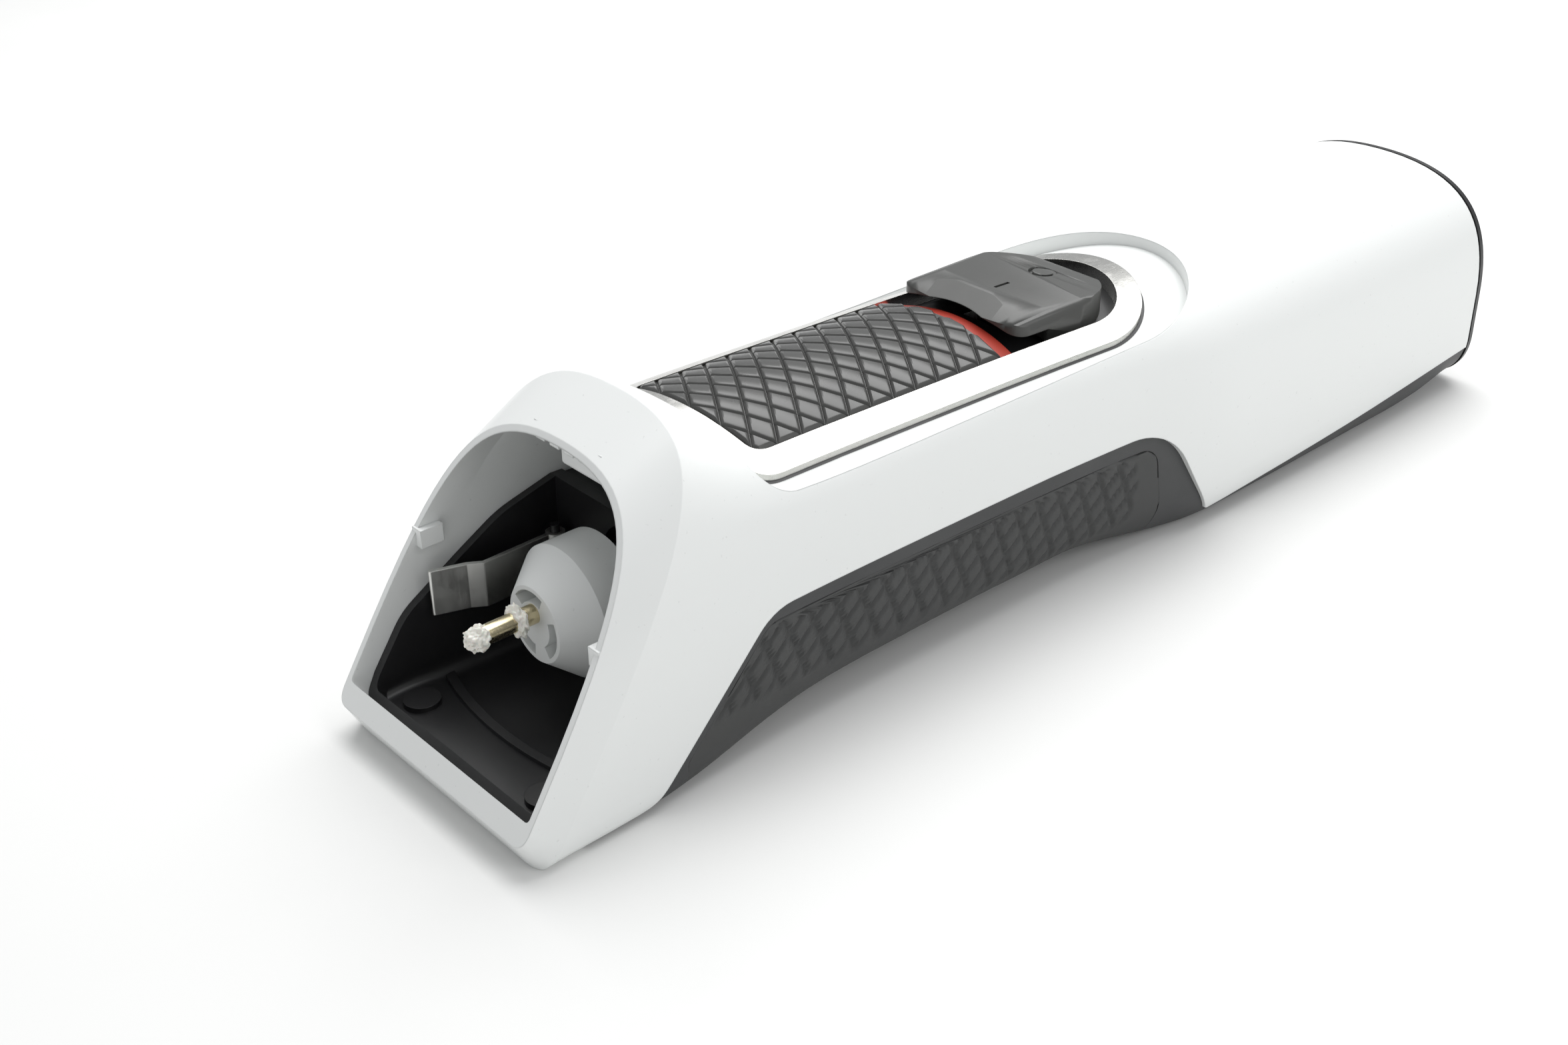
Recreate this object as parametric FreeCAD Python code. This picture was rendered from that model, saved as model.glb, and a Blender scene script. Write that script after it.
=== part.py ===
import FreeCAD, Part
import math
import os

os.makedirs("parts", exist_ok=True)
V = FreeCAD.Vector

# A cordless shaver handle with its cutting head taken off.
# Millimetres. X is to the right, Y runs from the open mouth to the tail, Z is up, thumb side up.
# "Station" is the distance from the mouth's lower inner edge; the finished parts are shifted
# along Y at the end, so that the origin sits under the middle of the handle.

# ---- driving dimensions -------------------------------------------------------------------------
LENGTH = 150.0              # station of the tail's end face
SHELL_END = 148.4           # where both shells stop and the seal starts
SEAL_THICK = 0.4
MOUTH_SLOPE = 0.64          # the mouth leans back by this much per millimetre of height
MOUTH_LIP_Z = 5.53          # height of the lower lip's inner edge, at station 0
FACET_DEPTH = 4.4           # depth of the flat band round the mouth
WAIST_Z = 16.0              # height of the parting line along the waist, at its front
WAIST_DROP = 0.7            # the parting line is this much lower at the waist's rear
AXIS_Z = 14.0               # motor and drive axis
PIN_RADIUS = 1.0
PIN_THROW = 1.25            # the pin stands this far off the drive axis
SWITCH_TRAVEL = 3.0         # from off to on, towards the mouth
CROWN_RADIUS = 27.0         # cross curvature of the thumb panel
SIDE = 25.0                 # half-width of every cutting block, wider than the handle

MOUTH_S = -MOUTH_SLOPE * MOUTH_LIP_Z
CREASE_S = MOUTH_S + FACET_DEPTH
LIP_LOW_Z = 3.4             # the band's outer edge under the lip
LIP_FRONT = MOUTH_S + MOUTH_SLOPE * LIP_LOW_Z
MIDDLE = (LIP_FRONT + LENGTH) / 2

parts = {}


# ---- helpers ------------------------------------------------------------------------------------
def block(x0, x1, y0, y1, z0, z1):
    return Part.makeBox(x1 - x0, y1 - y0, z1 - z0, V(x0, y0, z0))


def rod(y0, y1, radius, x=0.0, z=AXIS_Z):
    """A cylinder along Y."""
    return Part.makeCylinder(radius, y1 - y0, V(x, y0, z), V(0, 1, 0))


def tube(y0, y1, outer, inner, x=0.0, z=AXIS_Z):
    return rod(y0, y1, outer, x, z).cut(rod(y0, y1, inner, x, z))


def post(x, y, z0, z1, radius):
    """A cylinder along Z."""
    return Part.makeCylinder(radius, z1 - z0, V(x, y, z0))


def joined(solids):
    first, rest = solids[0], solids[1:]
    return first.fuse(rest).removeSplitter() if rest else first


def bend(*poles):
    """A curved edge that is tangent to both of its neighbours."""
    curve = Part.BezierCurve()
    curve.setPoles(list(poles))
    return curve.toShape()


def section(s, slope, half, wide_z, top_z, bottom_z, corner, square):
    """One outline across the handle: flat base, rounded lower corners, upright sides, arched top.
    slope leans it back; square is the arch's squareness, where 2 is an ellipse."""
    def at(x, z):
        return V(x, s + slope * z, z)

    hold = (8 * 0.5 ** (1 / square) - 4) / 3        # puts the arch's middle on the squarer ellipse
    shoulder_z = wide_z + hold * (top_z - wide_z)
    low = bottom_z + corner
    edges = [
        Part.LineSegment(at(corner - half, bottom_z), at(half - corner, bottom_z)).toShape(),
        bend(at(half - corner, bottom_z), at(half, bottom_z), at(half, low)),
        Part.LineSegment(at(half, low), at(half, wide_z)).toShape(),
        bend(at(half, wide_z), at(half, shoulder_z), at(hold * half, top_z), at(0, top_z)),
        bend(at(0, top_z), at(-hold * half, top_z), at(-half, shoulder_z), at(-half, wide_z)),
        Part.LineSegment(at(-half, wide_z), at(-half, low)).toShape(),
        bend(at(-half, low), at(-half, bottom_z), at(corner - half, bottom_z)),
    ]
    return Part.Wire(edges)


def loft(rows, ruled=False):
    return Part.makeLoft([section(*row) for row in rows], True, ruled)


def inset(row, skin):
    """The same outline with its sides and base moved inwards by skin."""
    s, slope, half, wide_z, top_z, bottom_z, corner, square = row
    return (s, slope, half - skin, wide_z, top_z, bottom_z + skin, corner * 0.9, square)


def gentle_slope(before, here, after):
    """Slope of a curve through three (station, value) points that never overshoots them."""
    rise_in = (here[1] - before[1]) / (here[0] - before[0])
    rise_out = (after[1] - here[1]) / (after[0] - here[0])
    if rise_in * rise_out <= 0:
        return 0.0
    return 2 * rise_in * rise_out / (rise_in + rise_out)


def smooth_value(points, s):
    """Value at station s on a smooth curve through (station, value) points."""
    last = len(points) - 1
    i = max(k for k in range(last) if points[k][0] <= s + 1e-9)
    a, b = points[i], points[i + 1]
    chord = (b[1] - a[1]) / (b[0] - a[0])
    slope_a = gentle_slope(points[i - 1], a, b) if i > 0 else chord
    slope_b = gentle_slope(a, b, points[i + 2]) if i + 2 <= last else chord
    span = b[0] - a[0]
    t = (s - a[0]) / span
    return ((2 * t ** 3 - 3 * t ** 2 + 1) * a[1] + (t ** 3 - 2 * t ** 2 + t) * span * slope_a
            + (3 * t ** 2 - 2 * t ** 3) * b[1] + (t ** 3 - t ** 2) * span * slope_b)


def body(rows, count=22):
    """A smooth body through the rows, lofted over evenly spaced outlines."""
    first, last = rows[0][0], rows[-1][0]
    even = []
    for i in range(count + 1):
        s = first + (last - first) * i / count
        columns = range(1, len(rows[0]))
        even.append((s,) + tuple(smooth_value([(row[0], row[k]) for row in rows], s) for k in columns))
    return Part.makeLoft([section(*row) for row in even], True)


def side_region(corners, half=SIDE):
    """A prism right across the handle from a side-view outline of (station, z, corner radius)."""
    points = [V(-half, s, z) for s, z, _ in corners]
    radii = [r for _, _, r in corners]
    edges = []
    count = len(points)
    ends = []
    for i, corner in enumerate(points):
        back = (points[i - 1] - corner).normalize()
        ahead = (points[(i + 1) % count] - corner).normalize()
        reach = 0.0
        if radii[i]:
            half_turn = (math.pi - back.getAngle(ahead)) / 2
            reach = radii[i] * math.tan(half_turn)
        ends.append((corner + back * reach, corner + ahead * reach))
        if reach:
            bisector = (back + ahead).normalize()
            depth = radii[i] / math.cos(half_turn) - radii[i]
            edges.append(Part.Arc(ends[-1][0], corner + bisector * depth, ends[-1][1]).toShape())
    for i in range(count):
        a, b = ends[i][1], ends[(i + 1) % count][0]
        if a.distanceToPoint(b) > 1e-6:
            edges.append(Part.LineSegment(a, b).toShape())
    face = Part.Face(Part.Wire(Part.__sortEdges__(edges)))
    return face.extrude(V(2 * half, 0, 0))


def plan_prism(half, front, centre, rear, apex, corner=2.6):
    """An upright prism from the thumb panel's outline: a nearly straight front edge,
    rounded front corners, straight sides, and a half-ellipse at the rear."""
    z0 = 18.0
    inner = half - corner
    slope = 2 * (centre - front) / inner
    bow = Part.Arc(V(-inner, front, z0), V(0, centre, z0), V(inner, front, z0)).toShape()
    tip = front - slope * corner
    side = front + corner * 1.3
    hold = 4 / 3 * (math.sqrt(2) - 1)       # makes a Bezier curve a quarter of an ellipse
    reach = rear + hold * (apex - rear)
    edges = [
        bow,
        bend(V(inner, front, z0), V(half, tip, z0), V(half, side, z0)),
        Part.LineSegment(V(half, side, z0), V(half, rear, z0)).toShape(),
        bend(V(half, rear, z0), V(half, reach, z0), V(hold * half, apex, z0), V(0, apex, z0)),
        bend(V(0, apex, z0), V(-hold * half, apex, z0), V(-half, reach, z0), V(-half, rear, z0)),
        Part.LineSegment(V(-half, rear, z0), V(-half, side, z0)).toShape(),
        bend(V(-half, side, z0), V(-half, tip, z0), V(-inner, front, z0)),
    ]
    return Part.Face(Part.Wire(edges)).extrude(V(0, 0, 22.0))


# Height of the thumb panel's crest along the handle: (station, z).
PANEL_CREST = ((20, 30.7), (34, 30.6), (50, 30.2), (66, 29.7), (80, 29.1), (93.5, 28.3), (104, 27.7))


def under_panel(drop, count=14):
    """Everything under the crowned thumb panel surface, lowered by drop."""
    first, last = PANEL_CREST[0][0], PANEL_CREST[-1][0]
    reach, floor_z = 20.0, 5.0
    fall = CROWN_RADIUS - math.sqrt(CROWN_RADIUS ** 2 - reach ** 2)
    wires = []
    for i in range(count + 1):
        s = first + (last - first) * i / count
        top = smooth_value(PANEL_CREST, s) - drop
        left, right = V(-reach, s, top - fall), V(reach, s, top - fall)
        floor_left, floor_right = V(-reach, s, floor_z), V(reach, s, floor_z)
        wires.append(Part.Wire([
            Part.Arc(left, V(0, s, top), right).toShape(),
            Part.LineSegment(right, floor_right).toShape(),
            Part.LineSegment(floor_right, floor_left).toShape(),
            Part.LineSegment(floor_left, left).toShape(),
        ]))
    return Part.makeLoft(wires, True)


# ---- casing volumes -----------------------------------------------------------------------------
# Columns: station at z 0, backward slope, half-width, height of the widest point, crest height,
# base height, lower corner size, squareness of the arch.
UPPER_ROWS = (
    (CREASE_S, MOUTH_SLOPE, 16.55, 8.0, 35.3, -0.4, 3.0, 3.3),
    (11.8, 0.46, 16.3, 11.0, 33.0, -0.4, 3.2, 3.4),
    (23.5, 0.26, 15.95, 14.0, 30.9, -0.4, 3.6, 3.7),
    (35.0, 0.09, 15.7, 16.0, 29.5, -0.4, 4.0, 4.0),
    (47.0, 0.0, 15.6, 16.5, 29.2, -0.4, 4.2, 4.0),
    (64.0, 0.0, 15.6, 16.5, 29.0, -0.4, 4.4, 4.0),
    (80.0, 0.0, 16.1, 16.0, 28.8, -0.4, 4.8, 3.7),
    (96.0, 0.0, 17.3, 14.5, 28.6, -0.4, 5.4, 3.0),
    (120.0, 0.0, 17.4, 13.5, 28.8, -0.4, 5.8, 2.7),
    (SHELL_END, 0.0, 17.0, 13.0, 28.4, 0.5, 6.5, 2.6),
)
FACET_ROWS = (
    (MOUTH_S, MOUTH_SLOPE, 15.8, 7.0, 32.0, LIP_LOW_Z, 1.6, 3.2),
    UPPER_ROWS[0],
)
LOWER_ROWS = (
    (0.0, 0.0, 15.9, 8.0, 26.0, -0.4, 3.0, 3.0),
    (14.0, 0.0, 15.9, 8.0, 26.0, -0.4, 3.2, 3.0),
    (27.0, 0.0, 15.5, 12.0, 26.0, 1.5, 4.0, 3.0),
    (38.0, 0.0, 15.1, 14.0, 26.0, 2.3, 5.0, 3.0),
    (56.0, 0.0, 15.0, 14.0, 26.0, 2.4, 5.0, 3.0),
    (74.0, 0.0, 15.1, 14.0, 26.0, 2.2, 5.0, 3.0),
    (85.0, 0.0, 15.6, 14.0, 26.0, 0.4, 5.0, 3.0),
    (93.0, 0.0, 16.8, 14.0, 26.0, -0.4, 5.2, 3.0),
    (106.0, 0.0, 17.2, 13.5, 26.0, -0.4, 5.6, 3.0),
    (134.0, 0.0, 17.1, 13.5, 26.0, -0.4, 6.0, 3.0),
    (SHELL_END, 0.0, 16.85, 13.0, 26.0, 0.6, 6.5, 3.0),
)
MOUTH_INNER_ROW = (MOUTH_S, MOUTH_SLOPE, 15.1, 7.0, 31.4, MOUTH_LIP_Z, 0.5, 3.2)
CAVITY_ROWS = (
    (CREASE_S, MOUTH_SLOPE, 14.9, 8.0, 32.6, 1.9, 1.2, 3.3),
    (11.8, 0.46, 14.4, 11.0, 31.0, 1.9, 2.0, 3.4),
    (23.5, 0.26, 13.9, 14.0, 28.6, 2.6, 2.6, 3.5),
    (35.0, 0.09, 13.3, 15.0, 27.4, 4.1, 3.2, 3.5),
    (47.0, 0.0, 13.2, 15.0, 27.0, 4.2, 3.2, 3.5),
    (74.0, 0.0, 13.3, 15.0, 26.8, 4.0, 3.2, 3.4),
    (92.0, 0.0, 14.3, 14.0, 26.0, 2.4, 3.4, 3.0),
    (106.0, 0.0, 15.3, 13.0, 26.0, 1.8, 4.0, 2.7),
    (134.0, 0.0, 15.3, 13.0, 26.7, 1.8, 4.2, 2.7),
    (SHELL_END + 1.0, 0.0, 15.1, 13.0, 26.4, 2.5, 4.6, 2.6),
)
# The parting line as seen from the side, closed over the top of the handle.
PARTING = (
    (5.5, -5.0, 0), (5.5, 0.5, 0), (13.2, 0.75, 4.0), (28.4, WAIST_Z, 6.0), (86.4, WAIST_Z - WAIST_DROP, 10.6),
    (94.4, 1.8, 0.9), (160.0, 6.3, 0), (160.0, 45.0, 0), (-10.0, 45.0, 0), (-10.0, -5.0, 0),
)

ground = block(-SIDE, SIDE, -10, LENGTH + 10, -10, 0)
upper_side = side_region(PARTING)
facet_band = loft(FACET_ROWS, ruled=True)
upper_body = body(UPPER_ROWS)
upper_volume = facet_band.fuse(upper_body).cut(ground)
lower_volume = body(LOWER_ROWS).cut(ground)
mouth_entry = loft((MOUTH_INNER_ROW, CAVITY_ROWS[0]), ruled=True)
cavity_body = body(CAVITY_ROWS)
cavity = mouth_entry.fuse(cavity_body)

# ---- thumb panel levels and outlines ------------------------------------------------------------
SHELF_DROP = 0.6            # the white shelf lies this far under the steel ring's edge
TRAY_TOP_DROP = 1.9
TRAY_FLOOR_DROP = 2.6
CEILING_DROP = 4.2          # the casing's inner face under the panel
RING_HALF = 12.3
RING_INNER_HALF = 9.5
TRAY_HALF = 12.6
SHELF_HALF = 14.2

ring_outline = plan_prism(RING_HALF, 29.9, 29.7, 80.0, 93.5)
ring_window = plan_prism(RING_INNER_HALF, 31.9, 31.5, 80.5, 90.4, corner=1.6)
tray_outline = plan_prism(TRAY_HALF, 29.55, 29.35, 80.0, 93.8)
shelf_outline = plan_prism(SHELF_HALF, 29.0, 28.7, 84.0, 101.0, corner=3.4)
panel_surface = under_panel(0.0)
panel_shelf = under_panel(SHELF_DROP)
panel_tray_top = under_panel(TRAY_TOP_DROP)
panel_tray_floor = under_panel(TRAY_FLOOR_DROP)
panel_ceiling = under_panel(CEILING_DROP)
cavity = cavity.cut(shelf_outline.cut(panel_ceiling))


# ---- casing -------------------------------------------------------------------------------------
SCREW_X = 11.2
SCREW_STATIONS = (104.0, 140.0)
SCREW_SEAT_Z = 1.9
SCREW_TIP_Z = 12.0
BOSS_LOW_Z = 6.2            # where the top cover's screw bosses meet the lower housing's seats
SCREW_SPOTS = [(side * SCREW_X, s) for s in SCREW_STATIONS for side in (-1, 1)]
STEM_FRONT, STEM_REAR, STEM_HALF = 75.0, 81.0, 2.6
stem_slot = block(-STEM_HALF - 0.35, STEM_HALF + 0.35, STEM_FRONT - SWITCH_TRAVEL - 0.4,
                  STEM_REAR + 0.4, 20.0, 32.0)


def mouth_snap_tabs():
    """One small catch on each side wall, just inside the mouth's rim."""
    inner, root = 13.6, 15.1
    return [block(x, x + root - inner, 8.8, 11.4, 17.7, 19.7) for x in (-root, inner)]


def mouth_top_stops():
    """A tongue that hangs inside the top of the mouth, and a row of small ribs in front of it."""
    low, root = 27.6, 32.5
    tongue = block(-3.0, 3.0, 18.8, 20.0, low, root)
    tongue = tongue.makeFillet(0.5, [e for e in tongue.Edges if abs(e.BoundBox.ZMax - low) < 0.01])
    rib_low, rib_root = 30.2, 32.1
    ribs = [block(x - 0.7, x + 0.7, 17.5, 18.4, rib_low, rib_root) for x in (-4.5, -2.25, 0.0, 2.25, 4.5)]
    return [tongue] + ribs


def make_top_cover():
    shell = upper_volume.cut(shelf_outline.cut(panel_shelf)).cut(tray_outline.cut(panel_tray_floor))
    shell = shell.cut(cavity).common(upper_side)
    bosses = [post(x, s, BOSS_LOW_Z, 22.6, 2.1) for x, s in SCREW_SPOTS]
    for piece in mouth_snap_tabs() + mouth_top_stops() + bosses:
        shell = shell.fuse(piece)
    for x, s in SCREW_SPOTS:
        shell = shell.cut(post(x, s, 0.0, SCREW_TIP_Z + 0.6, 0.95))
    return shell.cut(stem_slot)


GRIP_SKIN = 0.8
GRIP_MARGIN = 1.7           # smooth housing left between the parting line and the grip's skin
GRIP_TOP_Z = WAIST_Z - GRIP_MARGIN
GRIP_REGION = ((17.6, -2.0, 0), (17.6, 3.6, 0.8), (28.3, GRIP_TOP_Z, 3.0),
               (85.5, GRIP_TOP_Z - 2 * WAIST_DROP, 3.0), (86.6, 5.0, 3.0), (84.0, -2.0, 0))


def make_lower_casing():
    shell = lower_volume.cut(upper_side)
    grip = shell.common(side_region(GRIP_REGION)).cut(body([inset(row, GRIP_SKIN) for row in LOWER_ROWS]))
    shell = shell.cut(cavity).cut(grip)
    seats = [post(x, s, 0.0, BOSS_LOW_Z, 2.9) for x, s in SCREW_SPOTS]
    ribs = []
    for s, radius, z in ((34.0, 9.6, AXIS_Z), (46.0, 9.6, AXIS_Z), (70.0, 7.35, 12.2), (90.0, 7.35, 12.2),
                         (108.0, 7.35, 12.2)):
        web = block(-SIDE, SIDE, s, s + 1.2, 0.0, 11.0).common(cavity_body)
        ribs.append(web.cut(rod(s - 1, s + 2.2, radius, z=z)))
    shell = joined([shell] + [seat.common(lower_volume) for seat in seats] + ribs)
    for x, s in SCREW_SPOTS:
        shell = shell.cut(post(x, s, -1.0, SCREW_SEAT_Z, 2.15)).cut(post(x, s, -1.0, 7.0, 1.15))
    return shell, grip


def make_housing_screws():
    screws = []
    for x, s in SCREW_SPOTS:
        head = post(x, s, 0.5, SCREW_SEAT_Z, 1.95).cut(block(x - 1.2, x + 1.2, s - 0.25, s + 0.25, 0.0, 1.1))
        head = head.cut(block(x - 0.25, x + 0.25, s - 1.2, s + 1.2, 0.0, 1.1))
        screws.append(head.fuse(post(x, s, SCREW_SEAT_Z, SCREW_TIP_Z, 0.95)).removeSplitter())
    return Part.makeCompound(screws)


def tail_outline(s, inset):
    row = UPPER_ROWS[-1]
    return (s, 0.0, row[2] - inset, row[3], row[4] - inset, row[5] + inset, row[6], row[7])


JACK_Z = 11.0
JACK_OUTER = 3.6
LIGHT_X, LIGHT_Z, LIGHT_RADIUS = 6.0, 22.2, 1.2
COLLAR_DEPTH = 3.4
CAP_START = SHELL_END + SEAL_THICK


def make_tail_seal():
    seal = loft((tail_outline(SHELL_END, 0.25), tail_outline(CAP_START, 0.25)), ruled=True)
    return seal.cut(loft((tail_outline(SHELL_END, 2.2), tail_outline(CAP_START, 2.2)), ruled=True))


def make_tail_cap():
    plate = loft((tail_outline(CAP_START, 0.05), tail_outline(LENGTH - 0.45, 0.1),
                  tail_outline(LENGTH, 0.55)), ruled=True)
    collar_rows = (tail_outline(SHELL_END - COLLAR_DEPTH, 2.35), tail_outline(CAP_START, 2.35))
    hollow_rows = (tail_outline(SHELL_END - COLLAR_DEPTH, 3.4), tail_outline(SHELL_END - 1.0, 3.4))
    cap = joined([plate, loft(collar_rows, ruled=True).cut(loft(hollow_rows, ruled=True))])
    cap = cap.cut(rod(130, 160, JACK_OUTER, z=JACK_Z)).cut(rod(130, 160, LIGHT_RADIUS, LIGHT_X, LIGHT_Z))
    for x, s in SCREW_SPOTS:
        cap = cap.cut(post(x, s, 0.0, 30.0, 2.4))
    return cap


# ---- thumb panel --------------------------------------------------------------------------------
PAD_HALF = 9.3
PAD_REAR, PAD_REAR_CENTRE = 66.0, 66.7
ACCENT_DROP = 0.9
ACCENT_WIDTH = 2.2


def rear_arc_region(rear, centre, half=SIDE):
    """Everything in front of an arc that bulges rearwards between the panel's two sides."""
    reach = PAD_HALF
    radius = (reach ** 2 + (centre - rear) ** 2) / (2 * (centre - rear))
    disc = Part.makeCylinder(radius, 40.0, V(0, centre - radius, 10.0))
    return disc.fuse(block(-half, half, 0.0, centre - radius, 10.0, 50.0))


def make_trim_ring():
    return ring_outline.cut(ring_window).common(panel_surface).cut(panel_tray_top)


def make_thumb_tray():
    plate = tray_outline.common(panel_tray_top).cut(panel_tray_floor)
    rim = tray_outline.cut(ring_outline).common(panel_shelf).cut(panel_tray_floor)
    return joined([plate, rim]).cut(stem_slot)


def make_thumb_grip():
    outline = plan_prism(PAD_HALF, 32.2, 31.8, 80.0, 90.0, corner=1.5)
    pad = outline.common(rear_arc_region(PAD_REAR, PAD_REAR_CENTRE))
    return pad.common(panel_surface).cut(panel_tray_top)


def make_red_accent():
    strip = plan_prism(PAD_HALF, 32.2, 31.8, 80.0, 90.0, corner=1.5)
    strip = strip.common(rear_arc_region(PAD_REAR + ACCENT_WIDTH, PAD_REAR_CENTRE + ACCENT_WIDTH))
    strip = strip.cut(rear_arc_region(PAD_REAR, PAD_REAR_CENTRE))
    return strip.common(under_panel(ACCENT_DROP)).cut(panel_tray_top)


# ---- switch -------------------------------------------------------------------------------------
CAP_HALF = 8.7
CAP_FRONT, CAP_REAR = 68.8, 88.0
CAP_RIDGE, CAP_TOP_Z = 71.8, 31.4
CAP_CROWN_RADIUS = 24.0
CAP_SKIRT_FRONT = 73.9
# The cap's top as seen from the side: a sloped lip up to a ridge, a dish for the thumb and a
# rounded rear edge.
CAP_PROFILE = ((CAP_FRONT - 1.0, 24.0, 0), (CAP_FRONT - 1.0, 29.4, 0), (CAP_RIDGE, CAP_TOP_Z, 0.8),
               (74.2, 30.3, 2.0), (82.5, 29.9, 8.0), (87.0, 29.1, 1.0), (CAP_REAR, 26.0, 0),
               (CAP_REAR, 24.0, 0))
SLIDER_LOW_Z, SLIDER_TOP_Z = 22.0, 23.3
LIP_CLEARANCE = 0.45
SKIRT_CLEARANCE = 0.65


def make_switch_button():
    outline = plan_prism(CAP_HALF, CAP_FRONT, CAP_FRONT - 0.3, 79.0, CAP_REAR, corner=1.8)
    crown = rod(50.0, 110.0, CAP_CROWN_RADIUS, z=CAP_TOP_Z - CAP_CROWN_RADIUS)
    cap = outline.common(side_region(CAP_PROFILE)).common(crown)
    overhang = block(-SIDE, SIDE, 0, CAP_SKIRT_FRONT, 10, 50)
    skirt = cap.cut(under_panel(TRAY_TOP_DROP - SKIRT_CLEARANCE)).cut(overhang)
    lip = cap.cut(under_panel(-LIP_CLEARANCE)).common(overhang)
    stem = block(-STEM_HALF, STEM_HALF, STEM_FRONT, STEM_REAR, SLIDER_TOP_Z, 28.0)
    return joined([skirt, lip, stem])


def make_switch_slider():
    plate = block(-5.4, 5.4, 72.0, 84.0, SLIDER_LOW_Z, SLIDER_TOP_Z)
    return plate.makeFillet(0.8, [e for e in plate.Edges if abs(e.BoundBox.ZLength - 1.3) < 0.01])


BOARD_TOP_Z = 20.8
BOARD_THICK = 1.2
PAD_THICK = 0.1


def make_contact_bridge():
    strip = block(-3.6, 3.6, 75.0, 79.0, SLIDER_LOW_Z - 0.25, SLIDER_LOW_Z)
    legs = [block(x, x + 1.4, 76.0, 78.0, BOARD_TOP_Z + PAD_THICK + 0.06, SLIDER_LOW_Z - 0.25)
            for x in (-3.6, 2.2)]
    return joined([strip] + legs)


# ---- mouth: frame, latch springs ----------------------------------------------------------------
FRAME_SKIN = 1.0
FRAME_FIT = 0.06            # the frame and the motor mount stand this far off the casing
BULKHEAD_S = 24.4
BULKHEAD_THICK = 1.4
MOTOR_SCREW_X = 6.0
# Upper edge of the frame along the side walls, closed below: it rises from the lip to the bulkhead.
FRAME_REGION = ((1.4, -3.0, 0), (1.4, 3.3, 0), (2.6, 5.6, 1.0), (6.3, 10.9, 8.0), (18.0, 18.4, 12.0),
                (BULKHEAD_S, 20.4, 0), (BULKHEAD_S, -3.0, 0))
LATCH_X = 11.0
LATCH_ROOT_S = 22.6
LATCH_LOW_Z, LATCH_HIGH_Z = 10.5, 15.5
LATCH_THICK = 0.5
EYE_OUTER, EYE_INNER, EYE_POST = 1.0, 0.55, 0.5


def fitted_space():
    """The mouth's hollow, drawn in all round by the fit of the parts that slide into it."""
    rows = [inset(row, FRAME_FIT) for row in CAVITY_ROWS]
    entry = loft((inset(MOUTH_INNER_ROW, FRAME_FIT), rows[0]), ruled=True)
    return entry.fuse(body(rows))


frame_space = fitted_space()


def make_inner_frame():
    hollow_rows = [inset(row, FRAME_SKIN) for row in CAVITY_ROWS]
    hollow_entry = loft((inset(MOUTH_INNER_ROW, FRAME_SKIN), hollow_rows[0]), ruled=True)
    tub = frame_space.common(side_region(FRAME_REGION)).cut(hollow_entry).cut(body(hollow_rows))
    bulkhead = frame_space.common(block(-SIDE, SIDE, BULKHEAD_S, BULKHEAD_S + BULKHEAD_THICK, 0, 20.4))
    floor_z = 1.9 + FRAME_SKIN
    details = []
    for side in (-1, 1):
        details.append(post(side * 10.4, 5.0, floor_z - 0.4, floor_z + 0.7, 1.9))
        shelf = block(side * LATCH_X - 1.6, side * LATCH_X + 1.6, LATCH_ROOT_S - 1.6, BULKHEAD_S, 8.6,
                      LATCH_LOW_Z - 0.15)
        details.append(shelf)
        details.append(post(side * LATCH_X, LATCH_ROOT_S, LATCH_LOW_Z - 0.2, LATCH_HIGH_Z + 0.8, EYE_POST))
    arc_radius, arc_front = 43.2, 7.2
    arc_centre = V(0, arc_front + arc_radius, floor_z - 0.4)
    rib = Part.makeCylinder(arc_radius, 1.0, arc_centre)
    rib = rib.cut(Part.makeCylinder(arc_radius - 1.0, 1.0, arc_centre))
    details.append(rib.common(block(-12.4, 12.4, 5.0, 12.0, 0, 10)).common(frame_space))
    frame = joined([tub, bulkhead] + details)
    for x in (-MOTOR_SCREW_X, MOTOR_SCREW_X):
        frame = frame.cut(rod(BULKHEAD_S - 1, BULKHEAD_S + 3, 1.7, x))
    return frame.cut(rod(BULKHEAD_S - 1, BULKHEAD_S + 3, 5.6))


def make_latch_spring(side):
    """A steel leaf: a rolled eye on its post, a long arm, an elbow, and a tab bent outwards."""
    height = LATCH_HIGH_Z - LATCH_LOW_Z
    route = [V(LATCH_X, LATCH_ROOT_S - 0.7, 0), V(LATCH_X - 0.2, 13.8, 0), V(LATCH_X + 0.7, 12.4, 0),
             V(12.9, 9.0, 0)]
    leaf = []
    for a, b in zip(route, route[1:]):
        run = (b - a).normalize()
        across = V(-run.y, run.x, 0) * (LATCH_THICK / 2)
        ends = [a + across, b + across, b - across, a - across]
        face = Part.Face(Part.makePolygon(ends + ends[:1]))
        leaf.append(face.extrude(V(0, 0, height)))
        leaf.append(Part.makeCylinder(LATCH_THICK / 2, height, b))
    leaf.append(Part.makeCylinder(EYE_OUTER, height, V(LATCH_X, LATCH_ROOT_S, 0)))
    spring = joined(leaf).cut(Part.makeCylinder(EYE_INNER, height, V(LATCH_X, LATCH_ROOT_S, 0)))
    spring.translate(V(0, 0, LATCH_LOW_Z))
    if side < 0:
        spring = spring.mirror(V(0, 0, 0), V(1, 0, 0))
    return spring


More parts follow.
